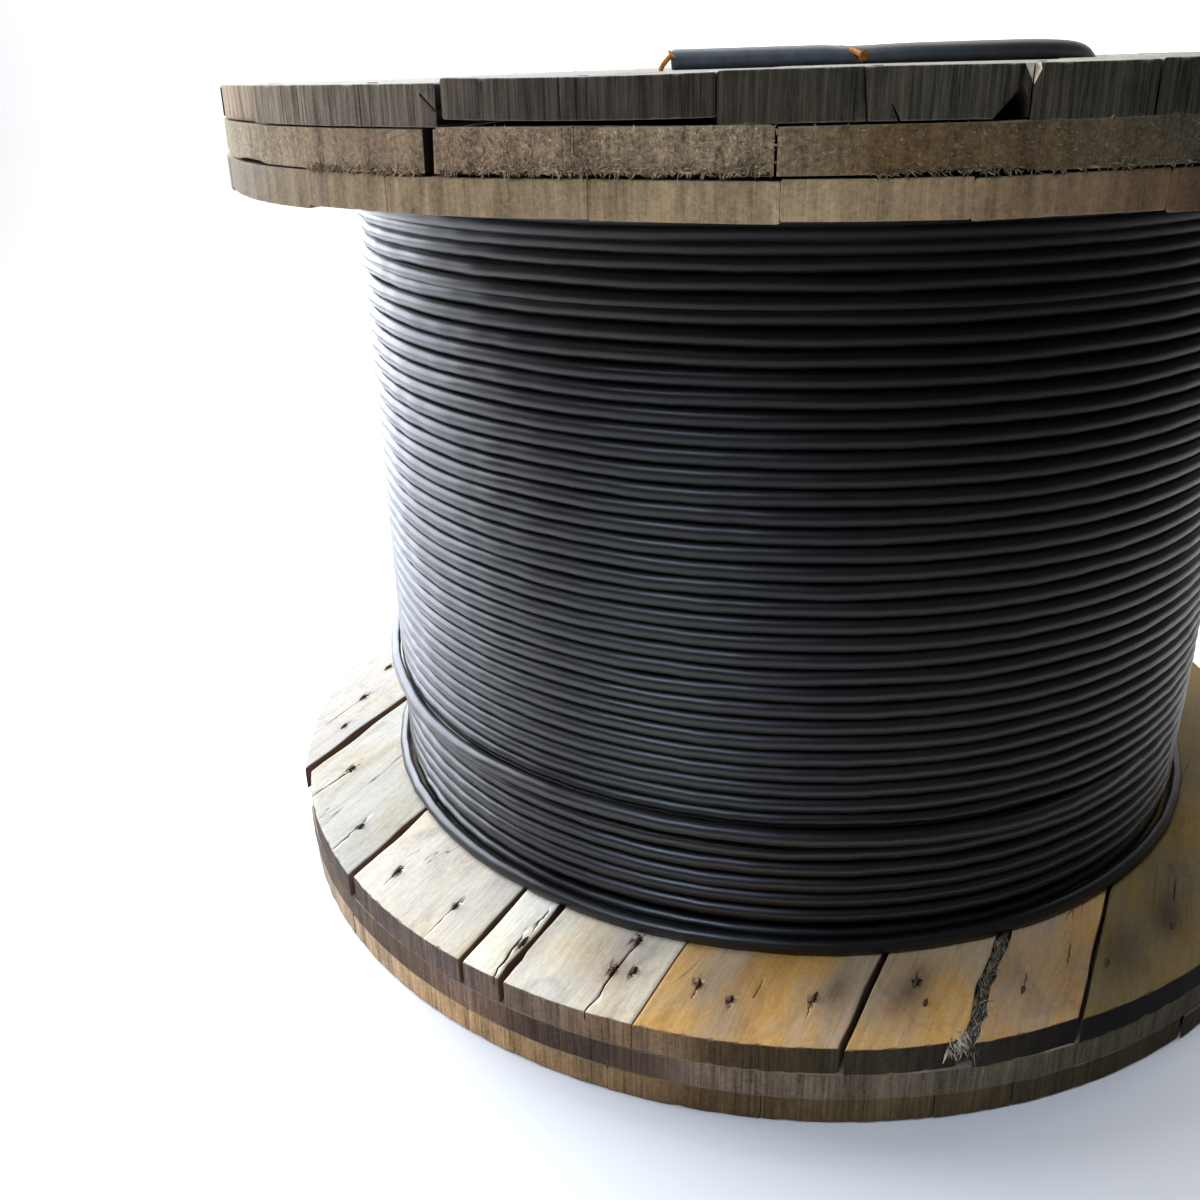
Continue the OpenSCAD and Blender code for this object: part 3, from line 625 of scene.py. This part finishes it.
# The slanting hole for the cable's inner end, then splits and broken corners in the rim, the last one
# with a pale, fresh face.
a = np.linspace(0.0, 2.0 * np.pi, 28, endpoint=False)
hole_edge = np.stack((0.2740 + 0.01575 * np.cos(a), -0.1760 + 0.0185 * np.sin(a), np.full(28, 0.85)), -1)
tail_hole = prism(hole_edge, (-0.012, -0.024, 0.06))
carve(upper_outer, [bore, disc(0.0, 0.0, 0.885, 0.91, 0.0753), tail_hole,
                    rim_cut([(-14.65, 0.8915), (-14.58, 0.8915), (-14.52, 0.866), (-14.56, 0.866)], 0.02),
                    rim_cut([(-46.15, 0.8915), (-45.65, 0.8915), (-45.45, 0.858), (-45.95, 0.858)], 0.03),
                    rim_cut([(3.60, 0.8935), (3.68, 0.8935), (4.02, 0.859), (3.92, 0.859)], 0.02),
                    rim_cut([(5.30, 0.8705), (5.42, 0.870), (5.95, 0.859), (5.80, 0.859)], 0.02),
                    rim_cut([(11.0, 0.858), (12.75, 0.8795), (13.15, 0.872), (13.35, 0.858)], 0.030),
                    rim_cut([(-25.0, 0.8815), (-24.85, 0.8820), (-23.7, 0.8715), (-23.7, 0.8700)], 0.015)]
      + [disc(x, y, 0.870, 0.91, 0.0290, 28) for x, y in bolt_places])
chip = [(12.55, 0.8965), (13.55, 0.8965), (13.75, 0.8885), (13.40, 0.8800), (13.05, 0.8860)]
carve(upper_outer, [rim_cut(chip, 0.006)], "#d6cab0")
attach(upper_outer, "root")
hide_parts("upper_outer_boards")


# Wound cable: one black polyethylene-sheathed cable, 16.9 mm thick, laid turn on turn. Each turn lies
# level in front and steps up to the next behind; a turn stands out at each flange, and one crosses
# over on top of the others near the bottom.
CABLE_R = 0.00845
turn_pitch = 0.01693
# The turns' heights over the floor and their radii: the lowest nine are squeezed, the next 28 even, and
# the top six loose.
low_turns = np.array([8.5, 11.5, 36.5, 55.5, 72.5, 91.5, 110.5, 129.2, 147.9]) / 1000.0
high_turns = 0.090 + low_turns[-1] + turn_pitch * np.arange(1, 29)
top_turns = np.array([722.0, 738.0, 753.0, 766.5, 778.0, 791.0]) / 1000.0
turn_z = np.concatenate((0.090 + low_turns, high_turns, top_turns))
turn_r = np.full(len(turn_z), 0.4836)
turn_r[:2] = 0.4975, 0.4812
turn_r[-3:] = 0.4860, 0.4930, 0.5060


def wound(turn_z, turn_r, per_turn, across=9):
    """Section circle swept along the turns: centre (r sin f, -r cos f, z), f from -180 to 180 degrees in
    each turn, with r and z easing over to the next turn's behind the drum. The section runs
    110 degrees each way from outwards and is closed by a chord behind, where it is never seen."""
    turns = len(turn_z)
    f = np.linspace(-np.pi, np.pi, per_turn, endpoint=False)
    step = smooth(f, np.radians(130.0), np.radians(180.0)) * 0.5
    back = 0.5 - smooth(f, np.radians(-180.0), np.radians(-130.0)) * 0.5
    k = np.arange(turns)
    after, before = np.minimum(k + 1, turns - 1), np.maximum(k - 1, 0)

    def eased(values):
        here = values[:, None] * np.ones_like(f)[None]
        here = here + step[None] * (values[after] - values)[:, None]
        return here + back[None] * (values[before] - values)[:, None]

    z, r = eased(turn_z), eased(turn_r)
    arc = f * 0.49
    ripple = np.stack([wander(arc + 0.02 * wander(np.array(i * 0.13), 1.0, 5), 0.056, 77) * 0.0003
                       + wander(arc, 0.11, 90 + i) * 0.0003 for i in range(turns)])
    r = r + ripple
    z = z + np.stack([wander(arc, 0.35, 200 + i) * 0.0005 for i in range(turns)])
    return rounded(np.tile(f, turns), r.ravel(), z.ravel(), across)


def rounded(f, r, z, across):
    """The cable's section carried along centres at angle f, radius r and height z, and closed to a point
    at both ends."""
    angle = np.radians(np.linspace(-110.0, 110.0, across))
    radial = r[:, None] + CABLE_R * np.cos(angle)[None]
    high = z[:, None] + CABLE_R * np.sin(angle)[None]
    grid = np.stack((radial * np.sin(f)[:, None], -radial * np.cos(f)[:, None], high), -1)
    ends = np.broadcast_to(grid[[0, -1]].mean(1, keepdims=True), (2, across, 3))
    grid = np.concatenate((ends[:1], grid, ends[1:]))
    n, m = grid.shape[:2]
    index = np.arange(n * m).reshape(n, m)
    index[0], index[-1] = index[0, 0], index[-1, 0]
    beside = np.roll(index, -1, 1)
    quads = np.stack((index[:-1], index[1:], beside[1:], beside[:-1]), -1).reshape(-1, 4)
    return {"points": grid.reshape(-1, 3), "faces": quads}


# Black polyethylene, satin, with a thin film of dust in patches 70 mm across.
sheath, tree, shader, place = new_material("Polyethylene cable sheath, black, satin")
dust = add(tree, "TexNoise", {"Vector": place, "Scale": 14.0, "Detail": 5.0, "Roughness": 0.6}).outputs["Fac"]
shade = add(tree, "Mix", {0: dust, 6: (*linear("#0b0a0b"), 1.0), 7: (*linear("#181617"), 1.0)},
            data_type="RGBA")
tree.links.new(shade.outputs[2], shader.inputs["Base Color"])
gloss = add(tree, "MapRange", {"Value": dust, "From Min": 0.3, "From Max": 0.7, "To Min": 0.32,
                               "To Max": 0.44})
tree.links.new(gloss.outputs["Result"], shader.inputs["Roughness"])
shader.inputs["IOR"].default_value = 1.5
# Painted sheen: the reflection is made stronger on the turns low down at the left, and weaker on those at
# the top, in the upper flange's shade, and on those at the right, where less light falls.
apart = add(tree, "SeparateXYZ", {"Vector": place}).outputs
painted_dimming_right = add(tree, "MapRange", {"Value": apart["X"], "From Min": -0.35, "From Max": 0.40, "To Max": 0.27},
            interpolation_type="SMOOTHSTEP").outputs["Result"]
above = add(tree, "MapRange", {"Value": apart["Z"], "From Min": 0.28, "From Max": 0.75, "To Min": 0.64,
                               "To Max": 0.33}, interpolation_type="SMOOTHSTEP").outputs["Result"]
painted_sheen_level = add(tree, "Math", {0: above, 1: painted_dimming_right}, operation="SUBTRACT").outputs["Value"]
tree.links.new(painted_sheen_level, shader.inputs["Specular IOR Level"])
# The turn that crosses over the others: its height follows the stops (degrees from the front, mm).
over_f = np.radians(np.linspace(-160.0, 62.0, 170))
over_deg = np.degrees(over_f)
over_z = 0.2254 + np.interp(over_deg, [-160, -110, -80, -70, -62, -55, -47, -40, -31, -24, -13, 0, 30, 62],
                            [45, 30, 16, 10, 6, 3, 1, 2, 3.5, 4, 3.5, 2, -1, -8]) / 1000.0
over_r = 0.4990 - 0.020 * smooth(over_deg, 25.0, 62.0) - 0.0022 * smooth(over_deg, -45.0, -65.0)
over_r = over_r - 0.018 * smooth(over_deg, -110.0, -160.0)
over_r = over_r + 0.0005 * wander(over_f * 0.49, 0.07, 31)
over_z = np.convolve(np.pad(over_z, 6, mode="edge"), np.ones(13) / 13.0, mode="valid")
winding = mesh_piece("wound_cable_turns",
                     [wound(turn_z, turn_r, 224), rounded(over_f, over_r, over_z, 15)], sheath)
# The layer below shows only as dark between the turns, so it is coarser.
below_z = 0.090 + turn_pitch * (np.arange(42) + 0.35)
below = mesh_piece("wound_cable_layer_below", [wound(below_z, np.full(42, 0.4690), 90, 6)], sheath)
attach(below, "root")
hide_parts("wound_cable")
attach(winding, "root")
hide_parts("wound_cable")


# Cable tail: the cable's inner end comes up through a slanting hole in the upper flange and lies on it,
# held by two nails bent over it. Its sawn end is plain.
# Its middle line in mm, up through the hole and along the boards.
tail_points = np.array([
    [299, -126, -91], [290, -144, -71], [281, -162, -51], [272, -180, -31.5], [265, -194, -17.5],
    [257, -208, -9.5], [248, -224, -3.6], [236, -240, -0.6], [220, -256, 0.8], [202, -270, 1.4],
    [184, -280, 1.6], [162, -287, 1.6], [130, -291, 1.5], [98, -293, 1.4], [78, -293.5, 1.0],
    [58, -294, 0.4], [38, -294.5, 0.2],
    [18, -295, 1.3], [-15, -296, 1.4], [-50, -297, 1.3], [-85, -298, 1.2], [-112, -299, 1.2],
]) / 1000.0


def swept(path, radius, sides=20, sizes=None, steps=7):
    """A round section swept along a smooth curve through the path's points (cubic through each four),
    with a closed, slightly rounded end at both ends. `sizes` are shares of the radius at each point."""
    ends = np.concatenate((2 * path[:1] - path[1:2], path, 2 * path[-1:] - path[-2:-1]))
    u = np.linspace(0.0, 1.0, steps, endpoint=False)[None, :, None]
    p0, p1, p2, p3 = (ends[i:len(ends) - 3 + i][:, None] for i in range(4))
    line = 0.5 * (2 * p1 + (p2 - p0) * u + (2 * p0 - 5 * p1 + 4 * p2 - p3) * u ** 2
                  + (3 * p1 - p0 - 3 * p2 + p3) * u ** 3)
    line = np.concatenate((line.reshape(-1, 3), path[-1:]))
    ahead = np.gradient(line, axis=0)
    ahead /= np.linalg.norm(ahead, axis=1)[:, None]
    sideways = np.cross(ahead, [0.09, 0.05, 1.0])
    sideways /= np.linalg.norm(sideways, axis=1)[:, None]
    up = np.cross(sideways, ahead)
    scale = np.ones(len(line))
    if sizes is not None:
        scale = np.interp(np.arange(len(line)) / steps, np.arange(len(path)), sizes)
    rings = [(0, 0.0, 0.0), (0, 0.6, 0.0), (0, 0.88, 0.0), (0, 1.0, 0.12)]
    rings += [(i, 1.0, None) for i in range(1, len(line) - 1)]
    rings += [(-1, 1.0, -0.12), (-1, 0.88, 0.0), (-1, 0.6, 0.0), (-1, 0.0, 0.0)]
    at = np.array([ring[0] for ring in rings]) % len(line)
    size = np.array([ring[1] for ring in rings]) * radius * scale[at]
    move = np.array([ring[2] or 0.0 for ring in rings]) * radius
    angle = np.linspace(0.0, 2.0 * np.pi, sides, endpoint=False)
    circle = sideways[at][:, None] * np.cos(angle)[None, :, None]
    circle = circle + up[at][:, None] * np.sin(angle)[None, :, None]
    grid = (line[at] + ahead[at] * move[:, None])[:, None] + circle * size[:, None, None]
    n, m = grid.shape[:2]
    index = np.arange(n * m).reshape(n, m)
    index[0], index[-1] = index[0, 0], index[-1, 0]
    beside = np.roll(index, -1, 1)
    quads = np.stack((index[:-1], index[1:], beside[1:], beside[:-1]), -1).reshape(-1, 4)
    return {"points": grid.reshape(-1, 3), "faces": quads}


# The same sheath under dust, which thins out towards the hole at the right.
dusty, tree, shader, place = new_material("Polyethylene cable sheath, black, dusty")
apart = add(tree, "SeparateXYZ", {"Vector": place}).outputs["X"]
thick = add(tree, "MapRange", {"Value": apart, "From Min": 0.02, "From Max": 0.17, "To Min": 1.0,
                               "To Max": 0.25}).outputs["Result"]
grime = add(tree, "TexNoise", {"Vector": place, "Scale": 60.0, "Detail": 5.0, "Roughness": 0.65})
amount = add(tree, "Math", {0: thick, 1: grime.outputs["Fac"]}, operation="MULTIPLY").outputs["Value"]
amount = add(tree, "MapRange", {"Value": amount, "From Max": 0.7}).outputs["Result"]
shade = add(tree, "Mix", {0: amount, 6: (*linear("#16181a"), 1.0), 7: (*linear("#555f66"), 1.0)},
            data_type="RGBA")
tree.links.new(shade.outputs[2], shader.inputs["Base Color"])
shader.inputs["Roughness"].default_value = 0.42
shader.inputs["IOR"].default_value = 1.5
tail_path = tail_points + [0.0, 0.0, 0.890 + CABLE_R]
tail = mesh_piece("cable_tail_end", [swept(tail_path, CABLE_R)], dusty)
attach(tail, "root")
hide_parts("cable_tail")


# Nails: 5 mm wire nails, rusted brown. Two are bent over the tail; the flanges' own were driven from the
# outer faces, so their heads lie flush outside and their points are bent over along the grain inside.
def wire_nail(points, head, steps=5, sides=10):
    """A nail from its foot to its head: a swept shank and a flat round head across its last stretch. The
    points and the head's width are in mm."""
    points = np.array(points) / 1000.0
    way = points[-1] - points[-2]
    way = way / np.linalg.norm(way)
    shank = swept(points, 0.0023, sides, steps=steps)
    top = swept(np.array([points[-1] - way * 0.0004, points[-1] + way * 0.0010]), head / 2000.0, 14, steps=1)
    return [shank, top]


# Thick fresh rust, in spots 2 mm across.
rust, tree, shader, place = new_material("Mild steel wire nail, rusted orange")
scale = add(tree, "TexNoise", {"Vector": place, "Scale": 420.0, "Detail": 5.0, "Roughness": 0.65})
scale = scale.outputs["Fac"]
ramp = add(tree, "ValToRGB", {"Fac": scale})
ramp.color_ramp.elements[0].position = 0.34
ramp.color_ramp.elements[0].color = (*linear("#5a3415"), 1.0)
ramp.color_ramp.elements[1].position = 0.64
ramp.color_ramp.elements[1].color = (*linear("#d98a24"), 1.0)
tree.links.new(ramp.outputs["Color"], shader.inputs["Base Color"])
shader.inputs["Roughness"].default_value = 0.8
lift = add(tree, "Bump", {"Strength": 0.4, "Distance": 0.0005, "Height": scale}).outputs["Normal"]
tree.links.new(lift, shader.inputs["Normal"])
over_tail = wire_nail([(26, -274, 885), (27, -280, 899), (33, -289, 905.5), (45, -302, 902.5),
                       (53, -311, 899)], 10.5)
at_end = wire_nail([(-122, -303, 880), (-121, -303, 892), (-116, -305, 899), (-111, -306, 903.5)], 10)
bent_nails = mesh_piece("tail_nails_bent", over_tail + at_end, rust)
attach(bent_nails, "root")
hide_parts("tail_nails")

# Old dark rust, in spots 2 mm across.
old_rust, tree, shader, place = new_material("Mild steel wire nail, rusted dark brown")
scale = add(tree, "TexNoise", {"Vector": place, "Scale": 420.0, "Detail": 4.0}).outputs["Fac"]
shade = add(tree, "Mix", {0: scale, 6: (*linear("#2b2019"), 1.0), 7: (*linear("#6d4a31"), 1.0)},
            data_type="RGBA")
tree.links.new(shade.outputs[2], shader.inputs["Base Color"])
shader.inputs["Roughness"].default_value = 0.75


def ring_places(joints, turn):
    """36 places on the ring 50 mm inside the rim, without those within 9 mm of a joint, in metres."""
    a = np.radians((np.arange(36) + 0.5) * 10.0)
    x, y = 0.575 * np.cos(a), 0.575 * np.sin(a)
    s = x * np.cos(np.radians(turn)) + y * np.sin(np.radians(turn))
    return np.stack((x, y), -1)[np.abs(s[:, None] - np.array(joints)[None] / 1000.0).min(1) > 0.009]


def clenched(place, z, way, turn, length):
    """A nail point that leaves the wood at height z, bends over and lies along the grain, thinning out."""
    ahead = np.array([-np.sin(np.radians(turn)), np.cos(np.radians(turn))]) * length
    part = np.array([0.0, 0.0, 0.10, 0.5, 1.0])
    rise = np.array([-3.0, 0.2, 1.5, 1.5, -0.1]) / 1000.0 * way
    path = np.column_stack((np.array(place)[None] + part[:, None] * ahead[None], z + rise))
    return swept(path, 0.0020, 6, sizes=[1.0, 1.0, 1.0, 0.85, 0.3], steps=2)


# The lower flange has the points that show at their own places, and the ring's places elsewhere.
rng = np.random.default_rng(31)
seen = np.array(nail_places) / 1000.0
rest = [p for p in ring_places([-476, -289, -103, -53, 87.5, 269.5, 368, 453], lower_turn)
        if np.abs(np.arctan2(p[0], -p[1]) + 0.72) > 0.98]
lower_points = mesh_piece(
    "lower_nail_points",
    [clenched(p, 0.0902, 1.0, lower_turn, rng.uniform(0.008, 0.015) * rng.choice([-1.0, 1.0]))
     for p in list(seen) + rest], old_rust)
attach(lower_points, "root")
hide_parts("lower_clenched_nails")

upper_points = mesh_piece(
    "upper_nail_points",
    [clenched(p, 0.7998, -1.0, upper_turn, rng.uniform(0.010, 0.016) * rng.choice([-1.0, 1.0]))
     for p in ring_places([-455, -267, -175, -3, 127, 245, 363, 520], upper_turn)], old_rust)
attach(upper_points, "root")
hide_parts("upper_clenched_nails")

head_joints = np.array([-500, -341, -118, 85, 273, 347, 505])
head_tops = np.array([887.5, 889, 889, 890.8, 892.5, 892.3, 892.8, 892.3]) / 1000.0
heads = []
for p in ring_places(head_joints, upper_turn):
    s_head = (p[0] * np.cos(np.radians(upper_turn)) + p[1] * np.sin(np.radians(upper_turn))) * 1000.0
    level = head_tops[np.searchsorted(head_joints, s_head)]
    heads.append(swept(np.array([[*p, level - 0.002], [*p, level + 0.0003]]), 0.0045, 12, steps=1))
nail_heads = mesh_piece("upper_nail_heads_flush", heads, old_rust)
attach(nail_heads, "root")
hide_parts("upper_nail_heads")


# Ironwork and hidden wood, kept from the CAD model: steel bushes, tie bolts, nuts and washers, rusted
# nails, and the barrel's staves and discs inside the winding.
# Hot-rolled mild steel, dull grey, with brown rust in patches 15 mm across.
steel, tree, shader, place = new_material("Mild steel, hot-rolled, dull")
scale = add(tree, "TexNoise", {"Vector": place, "Scale": 60.0, "Detail": 6.0, "Roughness": 0.6})
ramp = add(tree, "ValToRGB", {"Fac": scale.outputs["Fac"]})
ramp.color_ramp.elements[0].position = 0.42
ramp.color_ramp.elements[0].color = (*linear("#6f6d6a"), 1.0)
ramp.color_ramp.elements[1].position = 0.62
ramp.color_ramp.elements[1].color = (*linear("#6b4a33"), 1.0)
tree.links.new(ramp.outputs["Color"], shader.inputs["Base Color"])
shader.inputs["Metallic"].default_value = 0.6
shader.inputs["Roughness"].default_value = 0.6

# Sheltered softwood, its figure 15 mm across and running along Z, as the staves do.
plain_wood, tree, shader, place = new_material("Softwood, rough-sawn, unweathered")
moved = add(tree, "Mapping", {"Vector": place, "Scale": (60.0, 60.0, 4.0)}).outputs["Vector"]
figure = add(tree, "TexNoise", {"Vector": moved, "Scale": 1.0, "Detail": 4.0}).outputs["Fac"]
shade = add(tree, "Mix", {0: figure, 6: (*linear("#8f7350"), 1.0), 7: (*linear("#cdb592"), 1.0)},
            data_type="RGBA")
tree.links.new(shade.outputs[2], shader.inputs["Base Color"])
shader.inputs["Roughness"].default_value = 0.8

# Every CAD node that is kept, or that the pieces above replace only in looks, has a material.
finishes = {old_rust: ("tail_nails", "upper_nail_heads", "upper_clenched_nails", "lower_clenched_nails"),
            steel: ("lower_bush", "upper_bush", "tie_bolts", "tie_bolt_nuts", "tie_bolt_washers"),
            plain_wood: ("barrel_staves", "lower_barrel_disc", "upper_barrel_disc")}
for material, names in finishes.items():
    for name in names:
        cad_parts[name].data.materials.clear()
        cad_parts[name].data.materials.append(material)


# Studio: a pale sweep of floor and backdrop, a broad cool light from the left as through a doorway, and
# weak light elsewhere.
def sweep():
    """Floor that curves up into a wall: y, z along a quarter circle, carried straight in x."""
    bend = np.radians(np.linspace(0.0, 90.0, 12))
    y = np.concatenate(([-6.0], 3.0 + 1.5 * np.sin(bend), [4.5]))
    z = np.concatenate(([0.0], 1.5 - 1.5 * np.cos(bend), [6.0]))
    x = np.array([-7.0, 7.0])
    grid = np.stack((np.broadcast_to(x[None], (len(y), 2)), np.broadcast_to(y[:, None], (len(y), 2)),
                     np.broadcast_to(z[:, None], (len(y), 2))), -1)
    index = np.arange(len(y) * 2).reshape(-1, 2)
    quads = np.stack((index[:-1, 0], index[:-1, 1], index[1:, 1], index[1:, 0]), -1)
    return {"points": grid.reshape(-1, 3), "faces": quads}


# Matt white background paper.
paper, tree, shader, place = new_material("Backdrop paper, matt white")
shader.inputs["Base Color"].default_value = (*linear("#f4f4f4"), 1.0)
shader.inputs["Roughness"].default_value = 0.9
floor = mesh_piece("floor", [sweep()], paper)


def lamp(name, place, target, size, power, colour):
    """A rectangular area light at `place` that looks at `target`."""
    light = bpy.data.objects.new(name, bpy.data.lights.new(name, "AREA"))
    light.data.shape = "RECTANGLE"
    light.data.size, light.data.size_y = size
    light.data.energy = power
    light.data.color = linear(colour)
    back = np.array(place) - np.array(target)
    back = back / np.linalg.norm(back)
    right = np.cross([0.0, 0.0, 1.0], back)
    right = right / np.linalg.norm(right)
    up = np.cross(back, right)
    light.matrix_world = Matrix([[right[i], up[i], back[i], place[i]] for i in range(3)] + [[0, 0, 0, 1]])
    bpy.context.scene.collection.objects.link(light)


lamp("doorway", (-2.3, 1.4, 1.55), (0.0, -0.1, 0.4), (4.0, 2.7), 315.0, "#eaf1ff")
lamp("sky", (-1.5, -2.6, 3.4), (0.0, 0.0, 0.4), (1.8, 1.2), 84.0, "#cfe1fb")
lamp("ceiling", (0.0, 0.6, 3.6), (0.0, 0.4, 0.0), (3.0, 3.0), 80.0, "#fff3e2")
lamp("backdrop_wash", (-0.6, 1.8, 4.4), (-0.6, 4.5, 1.0), (8.0, 1.0), 240.0, "#ffffff")
world = bpy.data.worlds.new("studio")
world.use_nodes = True
world.node_tree.nodes["Background"].inputs["Color"].default_value = (*linear("#ffffff"), 1.0)
world.node_tree.nodes["Background"].inputs["Strength"].default_value = 0.09
bpy.context.scene.world = world
